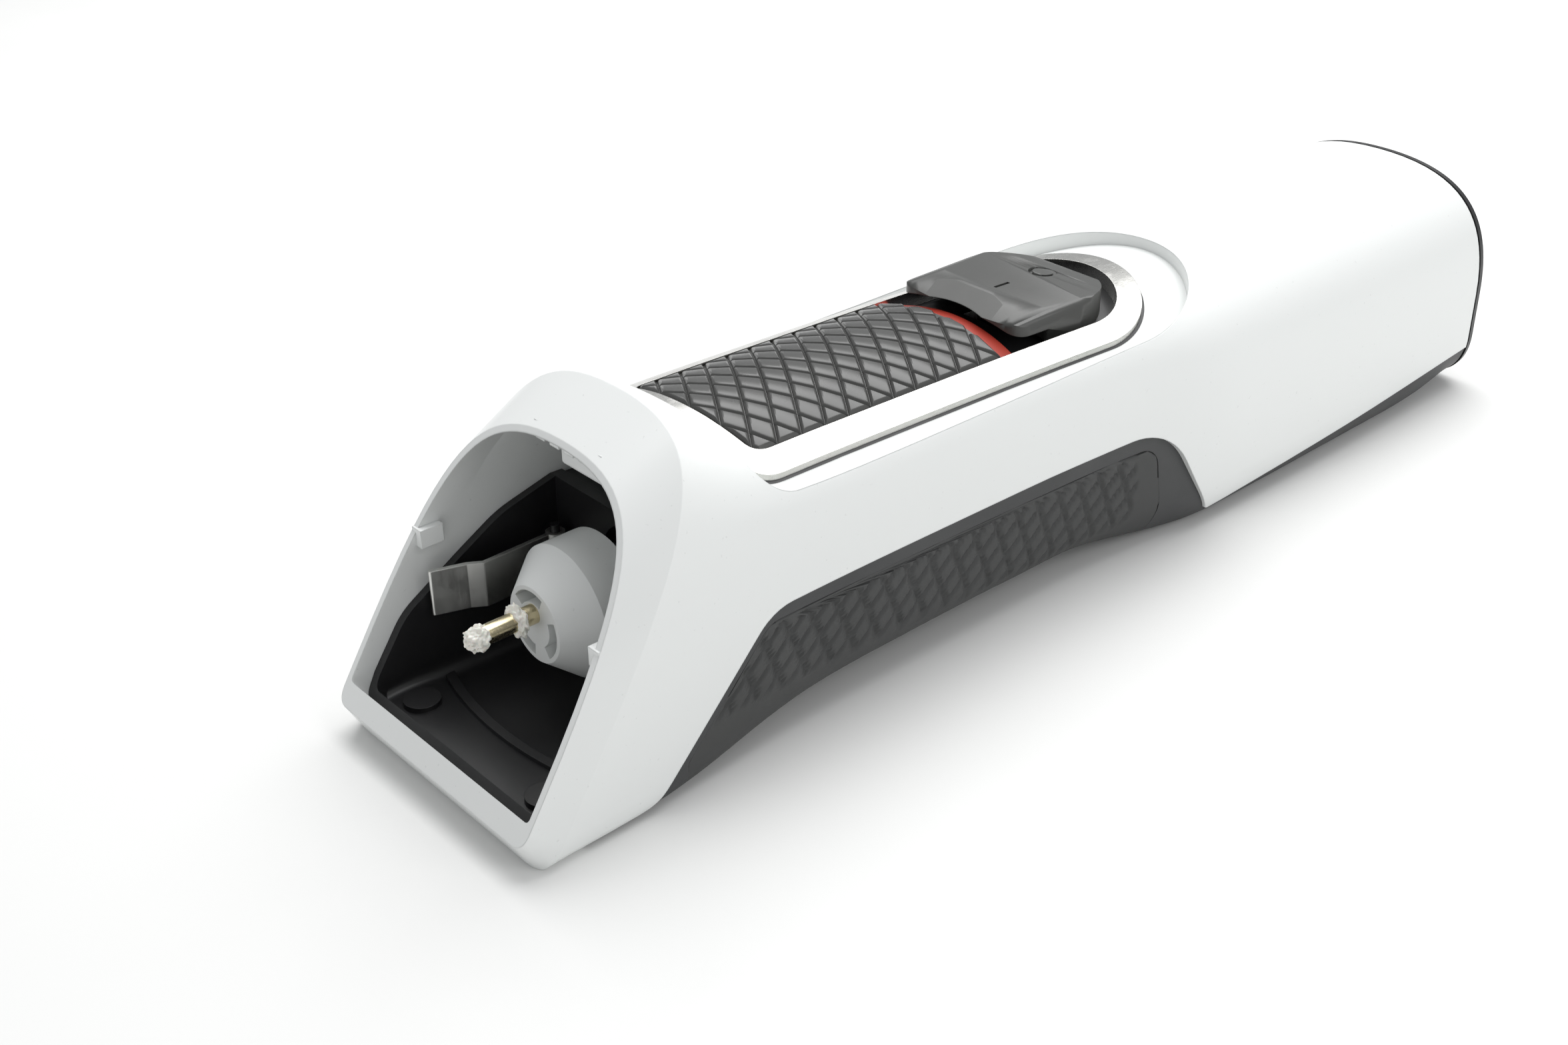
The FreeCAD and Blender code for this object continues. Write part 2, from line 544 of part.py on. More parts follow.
# ---- motor and drive ----------------------------------------------------------------------------
SHAFT_RADIUS = 1.0
BUSH_BORE = SHAFT_RADIUS + 0.04
MOUNT_S = BULKHEAD_S + BULKHEAD_THICK
CAN_FRONT = MOUNT_S + 1.6
CAN_REAR = 52.0
CAN_RADIUS = 9.2
CAN_SKIN = 0.7
BELL_REAR = 54.5
CONE_FACE, CONE_SHOULDER, CONE_REAR, HUB_REAR = 12.2, 15.7, 20.4, 23.2
CONE_FACE_RADIUS, CONE_RADIUS, HUB_RADIUS = 4.0, 6.9, 3.6
SHAFT_FRONT = 14.6
PIN_FRONT = 5.6
PIN_ROOT = 14.3             # the pin's thinner root is pressed this deep into the cone
PIN_ROOT_RADIUS = 0.8


def make_motor_mount():
    plate = frame_space.common(block(-SIDE, SIDE, MOUNT_S, CAN_FRONT, 0, 20.0))
    plate = plate.cut(rod(MOUNT_S - 1, CAN_FRONT + 1, 3.0))
    for x in (-MOTOR_SCREW_X, MOTOR_SCREW_X):
        plate = plate.cut(rod(MOUNT_S - 1, CAN_FRONT + 1, 0.85, x))
    return plate


def make_motor_screws():
    return Part.makeCompound([
        rod(MOUNT_S - 0.9, MOUNT_S, 1.5, x).fuse(rod(MOUNT_S, CAN_FRONT + CAN_SKIN, 0.85, x)).removeSplitter()
        for x in (-MOTOR_SCREW_X, MOTOR_SCREW_X)])


def make_motor_can():
    can = rod(CAN_FRONT, CAN_REAR, CAN_RADIUS).cut(rod(CAN_FRONT + CAN_SKIN, CAN_REAR, CAN_RADIUS - CAN_SKIN))
    can = can.cut(rod(CAN_FRONT - 1, CAN_FRONT + 2, 2.6))
    for x in (-MOTOR_SCREW_X, MOTOR_SCREW_X):
        can = can.cut(rod(CAN_FRONT - 1, CAN_FRONT + CAN_SKIN, 0.85, x))
    return can


def make_motor_magnets():
    ring = tube(34.0, 48.0, CAN_RADIUS - CAN_SKIN, CAN_RADIUS - CAN_SKIN - 1.4)
    gap = block(-1.6, 1.6, 30, 50, 0, 30)
    sides = ring.cut(gap)
    return Part.makeCompound(sides.Solids)


def make_motor_end_bell():
    bell = rod(CAN_REAR, BELL_REAR, CAN_RADIUS).cut(rod(CAN_REAR - 1, BELL_REAR + 1, 2.4))
    plug = tube(CAN_REAR - 1.6, CAN_REAR, CAN_RADIUS - CAN_SKIN, CAN_RADIUS - CAN_SKIN - 1.2)
    for x in (-5.0, 5.0):
        bell = bell.cut(block(x - 0.2, x + 0.2, CAN_REAR - 1, BELL_REAR + 1, AXIS_Z - 1.2, AXIS_Z + 1.2))
    return joined([bell, plug])


def make_motor_terminals():
    return Part.makeCompound([
        block(x - 0.2, x + 0.2, CAN_REAR - 0.6, BELL_REAR + 2.6, AXIS_Z - 1.2, AXIS_Z + 1.2)
        for x in (-5.0, 5.0)])


def make_rotor_core():
    core = rod(35.0, 47.0, 6.6).cut(rod(34, 48, SHAFT_RADIUS))
    for turn in (0, 120, 240):
        slot = block(-0.6, 0.6, 34, 48, AXIS_Z + 3.0, AXIS_Z + 8.0)
        slot.rotate(V(0, 0, AXIS_Z), V(0, 1, 0), turn)
        core = core.cut(slot)
    return core


def make_drive_cone():
    profile = [(0.0, CONE_FACE), (CONE_FACE_RADIUS, CONE_FACE), (CONE_RADIUS, CONE_SHOULDER),
               (CONE_RADIUS, CONE_REAR), (HUB_RADIUS, CONE_REAR + 0.9), (HUB_RADIUS, HUB_REAR),
               (0.0, HUB_REAR)]
    points = [V(r, s, AXIS_Z) for r, s in profile]
    face = Part.Face(Part.makePolygon(points + points[:1]))
    cone = face.revolve(V(0, 0, AXIS_Z), V(0, 1, 0), 360)
    cone = cone.cut(rod(SHAFT_FRONT, HUB_REAR + 1, SHAFT_RADIUS))
    cone = cone.cut(rod(CONE_FACE - 1, PIN_ROOT, PIN_ROOT_RADIUS, z=AXIS_Z + PIN_THROW))
    for start in (-55, 65, 185):
        pocket = Part.makeCylinder(3.55, 2.4, V(0, CONE_FACE - 0.4, AXIS_Z), V(0, 1, 0), 80)
        pocket = pocket.cut(rod(CONE_FACE - 1, CONE_FACE + 3, 2.35))
        pocket.rotate(V(0, 0, AXIS_Z), V(0, 1, 0), start)
        cone = cone.cut(pocket)
    return cone


def make_drive_pin():
    height = AXIS_Z + PIN_THROW
    return joined([rod(PIN_FRONT, CONE_FACE, PIN_RADIUS, z=height),
                   rod(CONE_FACE, PIN_ROOT, PIN_ROOT_RADIUS, z=height)])


# ---- power and electronics ----------------------------------------------------------------------
CELL_Z = 12.2
CELL_RADIUS = 7.0
CELL_FRONT, CELL_REAR = 61.0, 110.0
BOARD_FRONT, BOARD_REAR, BOARD_HALF = 60.0, 134.0, 8.8


def make_circuit_board():
    return block(-BOARD_HALF, BOARD_HALF, BOARD_FRONT, BOARD_REAR, BOARD_TOP_Z - BOARD_THICK, BOARD_TOP_Z)


def make_board_components():
    top = BOARD_TOP_Z
    chips = [block(-3.0, 1.0, 96.0, 101.0, top, top + 1.1), block(3.0, 6.0, 104.0, 107.0, top, top + 0.9),
             post(-4.5, 110.0, top, top + 3.4, 2.0), post(4.5, 114.0, top, top + 3.4, 2.0),
             block(-7.5, -4.0, 117.0, 121.0, top, top + 2.2)]
    resistors = [block(x, x + 0.9, s, s + 1.7, top, top + 0.5)
                 for s in (90.0, 93.0, 123.0, 126.0) for x in (-6.5, -2.5, 1.5, 5.5)]
    return Part.makeCompound(chips + resistors)


def make_switch_contacts():
    return Part.makeCompound([block(x, x + 2.0, s, s + 3.0, BOARD_TOP_Z, BOARD_TOP_Z + PAD_THICK)
                              for s in (72.0, 76.0) for x in (-3.9, 1.9)])


def make_battery_tab(s0, s1):
    under_board = BOARD_TOP_Z - BOARD_THICK
    return block(-1.5, 1.5, s0, s1, CELL_Z - 2.0, under_board)


WIRE_RADIUS = 0.45
WIRE_BEND = 2.2


def make_motor_lead(x):
    """A wire that rises from a motor terminal, turns over in one arc and lies on the board."""
    rise_s = BELL_REAR + 2.0
    top = BOARD_TOP_Z + WIRE_RADIUS
    start, turn_in = V(x, rise_s, AXIS_Z + 1.2), V(x, rise_s, top - WIRE_BEND)
    turn_out, end = V(x, rise_s + WIRE_BEND, top), V(x, BOARD_FRONT + 3.0, top)
    inset = WIRE_BEND * (1 - math.sqrt(0.5))
    middle = V(x, rise_s + inset, top - inset)
    path = Part.Wire([
        Part.LineSegment(start, turn_in).toShape(),
        Part.Arc(turn_in, middle, turn_out).toShape(),
        Part.LineSegment(turn_out, end).toShape(),
    ])
    ring = Part.Wire(Part.makeCircle(WIRE_RADIUS, start, V(0, 0, 1)))
    return path.makePipeShell([ring], True, True)


def make_charge_leads():
    return Part.makeCompound([post(x, 132.0, JACK_Z + 1.2, BOARD_TOP_Z - BOARD_THICK, WIRE_RADIUS)
                              for x in (-2.5, 2.5)])


def make_charge_jack():
    barrel = rod(139.0, LENGTH, JACK_OUTER, z=JACK_Z)
    base = block(-4.6, 4.6, 137.0, 143.0, JACK_Z - 4.6, JACK_Z + 4.6)
    return joined([barrel, base]).cut(rod(141.0, LENGTH + 1, 2.75, z=JACK_Z))


def make_jack_contacts():
    return Part.makeCompound([block(x - 0.4, x + 0.4, 131.0, 137.0, JACK_Z - 1.2, JACK_Z + 1.2)
                              for x in (-2.5, 2.5)])


casing_lower, casing_grip = make_lower_casing()
parts["top_cover"] = make_top_cover()
parts["lower_housing"] = casing_lower
parts["finger_grip"] = casing_grip
parts["trim_ring"] = make_trim_ring()
parts["thumb_tray"] = make_thumb_tray()
parts["thumb_grip"] = make_thumb_grip()
parts["red_accent"] = make_red_accent()
parts["tail_seal"] = make_tail_seal()
parts["tail_cap"] = make_tail_cap()
parts["housing_screws"] = make_housing_screws()
parts["inner_frame"] = make_inner_frame()
parts["latch_spring_left"] = make_latch_spring(-1)
parts["latch_spring_right"] = make_latch_spring(1)
parts["switch_button"] = make_switch_button()
parts["switch_slider"] = make_switch_slider()
parts["contact_bridge"] = make_contact_bridge()
parts["motor_mount"] = make_motor_mount()
parts["motor_screws"] = make_motor_screws()
parts["motor_can"] = make_motor_can()
parts["motor_magnets"] = make_motor_magnets()
parts["motor_end_bell"] = make_motor_end_bell()
parts["front_bushing"] = tube(MOUNT_S, CAN_FRONT + 3.0, 2.6, BUSH_BORE)
parts["rear_bushing"] = tube(CAN_REAR - 0.5, BELL_REAR, 2.4, BUSH_BORE)
parts["motor_terminals"] = make_motor_terminals()
parts["motor_leads"] = Part.makeCompound([make_motor_lead(x) for x in (-5.0, 5.0)])
parts["motor_shaft"] = rod(SHAFT_FRONT, BELL_REAR + 0.8, SHAFT_RADIUS)
parts["rotor_core"] = make_rotor_core()
parts["commutator"] = tube(47.6, 50.0, 2.4, SHAFT_RADIUS)
parts["drive_cone"] = make_drive_cone()
parts["drive_pin"] = make_drive_pin()
parts["circuit_board"] = make_circuit_board()
parts["board_components"] = make_board_components()
parts["switch_contacts"] = make_switch_contacts()
parts["battery_cell"] = rod(CELL_FRONT, CELL_REAR, CELL_RADIUS, z=CELL_Z)
parts["battery_wrap"] = tube(CELL_FRONT, CELL_REAR, CELL_RADIUS + 0.2, CELL_RADIUS, z=CELL_Z)
parts["battery_cap"] = rod(CELL_REAR, CELL_REAR + 1.4, 2.7, z=CELL_Z)
parts["battery_tab_front"] = make_battery_tab(CELL_FRONT - 0.3, CELL_FRONT)
parts["battery_tab_rear"] = make_battery_tab(CELL_REAR + 1.4, CELL_REAR + 1.7)
parts["charge_jack"] = make_charge_jack()
parts["jack_contacts"] = make_jack_contacts()
parts["charge_leads"] = make_charge_leads()
parts["charge_light"] = rod(BOARD_REAR + 1.5, LENGTH, LIGHT_RADIUS, LIGHT_X, LIGHT_Z)
parts["charge_led"] = block(LIGHT_X - 1.0, LIGHT_X + 1.0, BOARD_REAR - 1.6, BOARD_REAR, BOARD_TOP_Z,
                            BOARD_TOP_Z + 2.4)

for name, shape in parts.items():
    shape.translate(V(0, -MIDDLE, 0))
    kinds = [solid.isValid() for solid in shape.Solids]
    if not shape.Solids or not all(kinds) or not shape.isValid():
        print("CHECK", name, len(shape.Solids), shape.isValid())
    solids = shape.Solids
    shape = solids[0] if len(solids) == 1 else Part.makeCompound(solids)
    shape.exportStep("parts/" + name + ".step")
    box = shape.BoundBox
    print("%-20s solids %d  x %.1f..%.1f  y %.1f..%.1f  z %.2f..%.2f  vol %.1f" % (
        name, len(solids), box.XMin, box.XMax, box.YMin, box.YMax, box.ZMin, box.ZMax, shape.Volume))
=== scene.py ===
import math

import bmesh
import bpy
import numpy as np
from mathutils import Matrix, Vector, noise
from mathutils.bvhtree import BVHTree


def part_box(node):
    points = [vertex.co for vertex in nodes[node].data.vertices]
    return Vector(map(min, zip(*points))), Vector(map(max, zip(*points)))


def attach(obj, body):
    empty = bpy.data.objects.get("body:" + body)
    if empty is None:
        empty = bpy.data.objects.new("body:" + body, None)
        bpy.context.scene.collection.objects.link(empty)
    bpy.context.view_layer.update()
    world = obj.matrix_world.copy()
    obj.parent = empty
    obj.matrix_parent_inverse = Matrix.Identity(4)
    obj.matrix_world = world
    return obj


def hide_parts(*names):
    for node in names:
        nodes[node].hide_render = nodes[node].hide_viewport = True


# The looks of a cordless shaver handle. Metres in Blender; lengths below are written in millimetres
# and multiplied by MM. "Station" is the distance from the mouth's lower inner edge towards the tail.

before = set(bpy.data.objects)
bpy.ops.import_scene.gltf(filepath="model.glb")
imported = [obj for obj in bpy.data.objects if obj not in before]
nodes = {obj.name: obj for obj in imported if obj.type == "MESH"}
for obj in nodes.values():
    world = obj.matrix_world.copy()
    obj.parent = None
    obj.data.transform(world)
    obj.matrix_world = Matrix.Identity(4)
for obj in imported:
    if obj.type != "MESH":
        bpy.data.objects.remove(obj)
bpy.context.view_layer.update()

MM = 0.001
HANDLE_LENGTH = 150.0       # station of the tail's end face
STATION_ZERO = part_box("tail_cap")[1].y / MM - HANDLE_LENGTH


def at(x, station, z):
    """A point of the frame, in metres, from millimetres and a station."""
    return Vector((x * MM, (station + STATION_ZERO) * MM, z * MM))


# ---- mesh helpers -------------------------------------------------------------------------------
def new_piece(name, verts, faces, sharp_degrees=30.0):
    mesh = bpy.data.meshes.new(name)
    mesh.from_pydata([tuple(v) for v in verts], [], faces)
    mesh.validate()
    mesh.shade_smooth()
    mesh.set_sharp_from_angle(angle=math.radians(sharp_degrees))
    piece = bpy.data.objects.new(name, mesh)
    bpy.context.scene.collection.objects.link(piece)
    return piece


def sheet_faces(columns, rows, start=0):
    """Quads of a grid whose vertices are stored column by column."""
    return [(start + i * rows + j, start + i * rows + j + 1, start + (i + 1) * rows + j + 1,
             start + (i + 1) * rows + j) for i in range(columns - 1) for j in range(rows - 1)]


def slab(top, bottom):
    """A closed shape between two grids of points of the same size."""
    columns, rows = len(top), len(top[0])
    verts = [p for line in top for p in line] + [p for line in bottom for p in line]
    faces = sheet_faces(columns, rows)
    under = columns * rows
    faces += [tuple(reversed(f)) for f in sheet_faces(columns, rows, under)]
    rim = [i * rows for i in range(columns)]
    rim += [(columns - 1) * rows + j for j in range(1, rows)]
    rim += [i * rows + rows - 1 for i in reversed(range(columns - 1))]
    rim += list(reversed(range(1, rows - 1)))
    for a, b in zip(rim, rim[1:] + rim[:1]):
        faces.append((b, a, a + under, b + under))
    return verts, faces


def clip(corners, plane):
    """A convex polygon cut by a half-plane. Corners are (point, plane of the edge that starts there)."""
    direction, limit = plane
    kept = []
    for (here, edge), (after, _) in zip(corners, corners[1:] + corners[:1]):
        gap_here = direction.dot(here) - limit
        gap_after = direction.dot(after) - limit
        if gap_here <= 0:
            kept.append((here, edge))
        if gap_here * gap_after < 0:
            crossing = here.lerp(after, gap_here / (gap_here - gap_after))
            kept.append((crossing, edge if gap_here > 0 else plane))
    return kept


def ring_of(planes, inset):
    """The corners where neighbouring planes meet, once each has moved inwards by inset."""
    corners = []
    for (a, la), (b, lb) in zip(planes[-1:] + planes[:-1], planes):
        across = a.x * b.y - a.y * b.x
        la, lb = la - inset, lb - inset
        corners.append(Vector(((la * b.y - lb * a.y) / across, (a.x * lb - b.x * la) / across)))
    return corners


# ---- thumb pad: knurled lozenges over a slab ----------------------------------------------------
CROWN_RADIUS = 27.0
PAD_HALF = 9.3
PAD_FRONT, PAD_FRONT_CENTRE = 32.2, 31.8
PAD_REAR, PAD_REAR_CENTRE = 66.0, 66.7
PAD_CORNER = 1.5
CELL_LONG, CELL_WIDE = 3.08, 4.62       # one lozenge of the knurl, along and across the handle
CELL_PHASE = 33.5                       # station of one groove crossing at the pad's edge
GROOVE_DEPTH = 0.36
GROOVE_HALF = 0.32
LOZENGE_CLEAR = 0.15                    # sides that vanish this far in from the groove are dropped
PAD_THICK = 1.85
LOZENGE_FOOT = 0.95                     # depth of a lozenge's foot, inside the slab
# Each lozenge as (distance in from its cell's edge, drop below the pad's surface), rounded at the top.
LOZENGE_RINGS = ((0.04, LOZENGE_FOOT), (0.04, GROOVE_DEPTH), (0.19, 0.13), (GROOVE_HALF, 0.03),
                 (GROOVE_HALF + 0.13, 0.0))


def probe_height(tree, x, station):
    hit = tree.ray_cast(at(x, station, 60.0), Vector((0, 0, -1)))[0]
    return hit.z / MM


def crest_curve():
    """Height of the pad's crest against station, a parabola through three probed points."""
    tree = BVHTree.FromPolygons([v.co for v in nodes["thumb_grip"].data.vertices],
                                [p.vertices for p in nodes["thumb_grip"].data.polygons])
    stations = (38.0, 50.0, 64.0)
    return np.polyfit(stations, [probe_height(tree, 0.0, s) for s in stations], 2)


pad_crest = crest_curve()


def pad_surface(x, station, drop=0.0):
    crown = math.sqrt(CROWN_RADIUS ** 2 - x * x) - CROWN_RADIUS
    return at(x, station, float(np.polyval(pad_crest, station)) + crown - drop)


def pad_front(x):
    """Station of the pad's front edge: a slight bow between two rounded corners."""
    inner = PAD_HALF - PAD_CORNER
    bow = PAD_FRONT_CENTRE - PAD_FRONT
    if abs(x) <= inner:
        return PAD_FRONT + bow * (1 - (x / inner) ** 2)
    away = math.sqrt(max(PAD_HALF - abs(x), 0.0) / PAD_CORNER)
    tip = PAD_FRONT - 2 * bow / inner * PAD_CORNER
    side = PAD_FRONT + 1.3 * PAD_CORNER
    return away ** 2 * PAD_FRONT + 2 * away * (1 - away) * tip + (1 - away) ** 2 * side


def pad_rear(x):
    return PAD_REAR_CENTRE + (PAD_REAR - PAD_REAR_CENTRE) * (x / PAD_HALF) ** 2


def edge_plane(curve, x, towards):
    """The half-plane in front of (+1) or behind (-1) a curve's tangent at x."""
    step = 0.05
    slope = (curve(x + step) - curve(x - step)) / (2 * step)
    direction = Vector((-slope, 1.0)).normalized() * towards
    return direction, direction.dot(Vector((x, curve(x))))


def lozenge_planes(x, station):
    """The active sides of one lozenge after the pad's edges have cut it, in order."""
    side = Vector((CELL_LONG, CELL_WIDE)).normalized()
    centre = Vector((x, station))
    half_gap = side.x * CELL_WIDE / 2
    planes = []
    for sx, sy in ((1, 1), (-1, 1), (-1, -1), (1, -1)):
        direction = Vector((side.x * sx, side.y * sy))
        planes.append((direction, direction.dot(centre) + half_gap))
    planes.append((Vector((1.0, 0.0)), PAD_HALF - 0.05))
    planes.append((Vector((-1.0, 0.0)), PAD_HALF - 0.05))
    planes.append(edge_plane(pad_front, max(min(x, PAD_HALF - 0.9), 0.9 - PAD_HALF), -1))
    planes.append(edge_plane(pad_rear, max(min(x, PAD_HALF), -PAD_HALF), 1))
    reach = CELL_WIDE
    signs = ((-1, -1), (1, -1), (1, 1), (-1, 1))
    corners = [(Vector((x + sx * reach, station + sy * reach)), None) for sx, sy in signs]
    for direction, limit in planes:
        corners = clip(corners, (direction, limit - GROOVE_HALF - LOZENGE_CLEAR))
    kept = []
    for _, plane in corners:
        if plane is not None:
            kept.append((plane[0], plane[1] + GROOVE_HALF + LOZENGE_CLEAR))
    return kept


def make_thumb_pad():
    columns, rows = 30, 60
    xs = np.linspace(-PAD_HALF + 0.02, PAD_HALF - 0.02, columns)
    top, bottom = [], []
    for x in xs:
        stations = np.linspace(pad_front(x), pad_rear(x) - 0.1, rows)
        top.append([pad_surface(x, s, GROOVE_DEPTH) for s in stations])
        bottom.append([pad_surface(x, s, PAD_THICK) for s in stations])
    verts, faces = slab(top, bottom)
    count_across = int(PAD_HALF // CELL_WIDE) + 2
    count_along = int((PAD_REAR_CENTRE - PAD_FRONT) // CELL_LONG) + 3
    for half_row in range(-2 * count_across, 2 * count_across + 1):
        for cell in range(-2, count_along):
            x = half_row * CELL_WIDE / 2
            station = CELL_PHASE + (cell + 0.5 * (half_row % 2)) * CELL_LONG
            if abs(x) > PAD_HALF + CELL_WIDE / 2 or station > pad_rear(0.0) + CELL_LONG / 2:
                continue
            planes = lozenge_planes(x, station)
            if len(planes) < 3:
                continue
            start = len(verts)
            for inset, drop in LOZENGE_RINGS:
                verts += [pad_surface(p.x, p.y, drop) for p in ring_of(planes, inset)]
            sides = len(planes)
            for level in range(len(LOZENGE_RINGS) - 1):
                for k in range(sides):
                    a = start + level * sides + k
                    b = start + level * sides + (k + 1) % sides
                    faces.append((a, b, b + sides, a + sides))
            last = start + (len(LOZENGE_RINGS) - 1) * sides
            faces.append(tuple(range(last, last + sides)))
    return new_piece("thumb_pad", verts, faces, 26.0)


# ---- finger grip: a skin with a shallow lozenge relief on both sides ------------------------------
RELIEF_DEPTH = 0.36
RELIEF_PITCH = 3.25                     # lozenge spacing along the handle
STEEP_RISE, LOW_RISE = 2.5, 0.8         # rise per millimetre along, of the two groove families
STEEP_HALF, LOW_HALF = 0.42, 0.55       # half-widths of the two families' grooves
GRIP_START = 30.5                       # a station where the skin reaches its full height
GRIP_CENTRE_Z = 9.0
SKIN_THICK = 0.6
# The relief's patch on the grip: its upper and lower borders slope down towards the tail, its front
# border leans back with height, and its rear border bows forwards away from the middle.
PATCH_TOP_Z, PATCH_TOP_FALL, PATCH_TOP_START = 14.1, 0.026, 28.0
PATCH_LOW_Z, PATCH_LOW_FALL, PATCH_LOW_START = 6.8, 0.045, 22.0
PATCH_LOWEST_Z = 4.7
PATCH_FRONT, PATCH_REAR = 13.6, 83.0
PATCH_REAR_BOW = 0.12


def smooth_step(value, low, high):
    t = min(max((value - low) / (high - low), 0.0), 1.0)
    return t * t * (3 - 2 * t)


def groove(phase, half_width, pitch):
    """1 in the middle of a groove, 0 on the lozenge between two."""
    away = abs(phase - round(phase)) * pitch
    return 1.0 - smooth_step(away, half_width * 0.3, half_width)


def relief(station, z):
    """How deep the skin is sunk at a place on the handle's side, in millimetres."""
    top = PATCH_TOP_Z - PATCH_TOP_FALL * (station - PATCH_TOP_START)
    low = max(PATCH_LOW_Z - PATCH_LOW_FALL * (station - PATCH_LOW_START), PATCH_LOWEST_Z)
    front = PATCH_FRONT + z
    rear = PATCH_REAR - PATCH_REAR_BOW * abs(z - GRIP_CENTRE_Z) ** 1.5
    inside = smooth_step(top - z, 0.0, 0.5) * smooth_step(z - low, -0.3, 0.3)
    inside *= smooth_step(station - front, 0.5, 1.1) * smooth_step(rear - station, 0.0, 0.6)
    steep = groove((station + z / STEEP_RISE) / RELIEF_PITCH, STEEP_HALF, RELIEF_PITCH)
    low_line = groove((station - z / LOW_RISE) / RELIEF_PITCH, LOW_HALF, RELIEF_PITCH)
    return RELIEF_DEPTH * inside * max(steep, low_line)


def make_finger_skin():
    mesh = nodes["finger_grip"].data
    tree = BVHTree.FromPolygons([v.co for v in mesh.vertices], [p.vertices for p in mesh.polygons])

    def cast(angle, station):
        outward = Vector((math.cos(angle), 0.0, math.sin(angle)))
        for slip in (0.0, 0.01, -0.01, 0.03, -0.03):
            centre = at(0.0, station + slip, GRIP_CENTRE_Z + slip)
            point, normal = tree.ray_cast(centre + outward * 60 * MM, -outward, 59 * MM)[:2]
            if point is not None:
                return point, normal
        return None, None

    def boundary(test, good, bad):
        for _ in range(16):
            middle = (good + bad) / 2
            if test(middle):
                good = middle
            else:
                bad = middle
        return good

    bottom = -math.pi / 2
    top_angle = boundary(lambda a: cast(a, GRIP_START)[0] is not None, bottom, math.pi / 2) - 0.004
    fine = np.linspace(bottom, top_angle, 300)
    trace = [cast(a, 56.0)[0] or cast(a, GRIP_START)[0] for a in fine]
    run = np.concatenate([[0.0], np.cumsum([(b - a).length for a, b in zip(trace, trace[1:])])])
    half_columns = 120
    right = np.interp(np.linspace(0.0, run[-1], half_columns), run, fine)
    angles = [math.pi - a for a in reversed(right[1:])] + list(right)
    angles = [a - 2 * math.pi if a > math.pi else a for a in angles]
    rows = 320
    outer, inner = [], []
    for angle in angles:
        front = boundary(lambda s: cast(angle, s)[0] is not None, GRIP_START, 15.0)
        rear = boundary(lambda s: cast(angle, s)[0] is not None, GRIP_START, 90.0)
        line, under = [], []
        for station in np.linspace(front, rear, rows):
            point, normal = cast(angle, station)
            sunk = relief(station, point.z / MM)
            line.append(point - normal * sunk * MM)
            under.append(point - normal * SKIN_THICK * MM)
        outer.append(line)
        inner.append(under)
    verts, faces = slab(outer, inner)
    return new_piece("finger_skin", verts, faces, 60.0)


# ---- switch cap with its engraved marks -----------------------------------------------------------
MARK_DEPTH = 0.32
MARK_ON, MARK_OFF = 75.9, 82.6          # stations of the I and the O
LINE_WIDE, LINE_LONG = 0.42, 2.3
RING_INNER, RING_OUTER = 1.15, 1.62
CUTTER_HEIGHT = 4.0                     # tall enough to stand clear of the cap


def make_switch_cap():
    """The CAD cap with I and O cut into its dished top."""
    cap = nodes["switch_button"].copy()
    cap.data = nodes["switch_button"].data.copy()
    cap.parent = None
    bpy.context.scene.collection.objects.link(cap)
    tree = BVHTree.FromPolygons([v.co for v in cap.data.vertices], [p.vertices for p in cap.data.polygons])
    cutters = []
    for name, station in (("mark_on", MARK_ON), ("mark_off", MARK_OFF)):
        height = probe_height(tree, 0.0, station) - MARK_DEPTH
        shape = bmesh.new()
        if name == "mark_on":
            line = Matrix.Diagonal((LINE_WIDE, LINE_LONG, CUTTER_HEIGHT, 1.0))
            bmesh.ops.create_cube(shape, size=MM, matrix=line)
            bmesh.ops.translate(shape, verts=shape.verts, vec=at(0.0, station, height + CUTTER_HEIGHT / 2))
        else:
            add_ring(shape, at(0.0, station, height), RING_INNER * MM, RING_OUTER * MM, CUTTER_HEIGHT * MM)
        mesh = bpy.data.meshes.new(name)
        shape.to_mesh(mesh)
        shape.free()
        cutter = bpy.data.objects.new(name, mesh)
        bpy.context.scene.collection.objects.link(cutter)
        change = cap.modifiers.new(name, "BOOLEAN")
        change.operation = "DIFFERENCE"
        change.object = cutter
        cutters.append(cutter)
    bpy.context.view_layer.update()
    result = bpy.data.meshes.new_from_object(cap.evaluated_get(bpy.context.evaluated_depsgraph_get()))
    result.name = "switch_cap"
    for spare in cutters + [cap]:
        bpy.data.objects.remove(spare)
    piece = bpy.data.objects.new("switch_cap", result)
    bpy.context.scene.collection.objects.link(piece)
    result.shade_smooth()
    result.set_sharp_from_angle(angle=math.radians(25.0))
    return piece


def add_ring(shape, base, inner, outer, height, steps=64):
    """A closed tube of square section, standing on base."""
    loops = []
    for radius, rise in ((inner, 0.0), (outer, 0.0), (outer, height), (inner, height)):
        loops.append([shape.verts.new(base + Vector((radius * math.cos(2 * math.pi * k / steps),
                                                     radius * math.sin(2 * math.pi * k / steps), rise)))
                      for k in range(steps)])
    for lower, upper in zip(loops, loops[1:] + loops[:1]):
        for k in range(steps):
            after = (k + 1) % steps
            shape.faces.new((lower[k], upper[k], upper[after], lower[after]))
    bmesh.ops.recalc_face_normals(shape, faces=shape.faces)


# ---- grease on the drive pin ----------------------------------------------------------------------
PIN_Z = 15.25
# Each smear: station of its middle, half-length, half-width, raggedness, and a seed for its shape.
SMEARS = ((5.9, 1.35, 1.2, 0.3, 3.0), (10.3, 0.75, 1.6, 0.22, 11.0))


